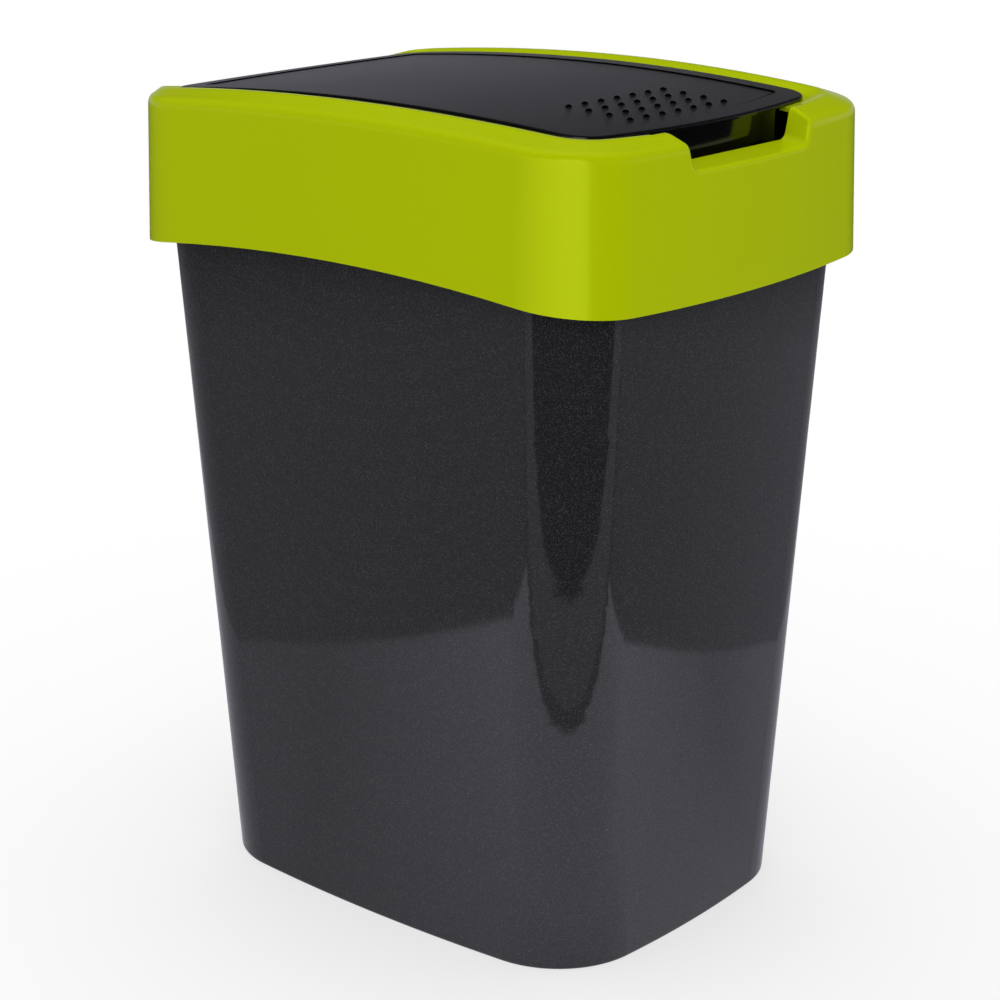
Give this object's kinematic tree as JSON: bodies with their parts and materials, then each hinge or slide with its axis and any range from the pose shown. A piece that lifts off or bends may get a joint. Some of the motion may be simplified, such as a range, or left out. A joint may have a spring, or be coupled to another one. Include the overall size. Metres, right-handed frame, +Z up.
{
  "type": "kitchen waste bin",
  "caption": "Tapered kitchen waste bin with a lift-off arched lid frame and a hinged flap raised by a finger notch.",
  "frame": {"origin": "on the floor, under the middle of the bin's bounding box", "axes": "+Z up, +X across the short side, +Y from the finger notch at the front to the hinge at the rear"},
  "size_m": [0.2644, 0.34, 0.4563],
  "materials": {
    "bucket_plastic": "anthracite polypropylene with a fine metal flake, glossy",
    "frame_plastic": "lime green polypropylene, satin gloss",
    "flap_plastic": "near-black polypropylene with a fine spark-eroded texture"
  },
  "bodies": {
    "bucket": {"bucket": "bucket_plastic"},
    "lid_frame": {"lid_frame": "frame_plastic"},
    "flap": {"flap": "flap_plastic"}
  },
  "joints": [
    {"name": "lid_lift", "type": "slide", "parent": "bucket", "child": "lid_frame", "axis": [0, 0, 1], "range_m": [0, 0.12]},
    {"name": "flap_hinge", "type": "hinge", "parent": "lid_frame", "child": "flap", "pos_m": [0, 0.143, 0.44], "axis": [-1, 0, 0], "range_deg": [0, 90]}
  ]
}
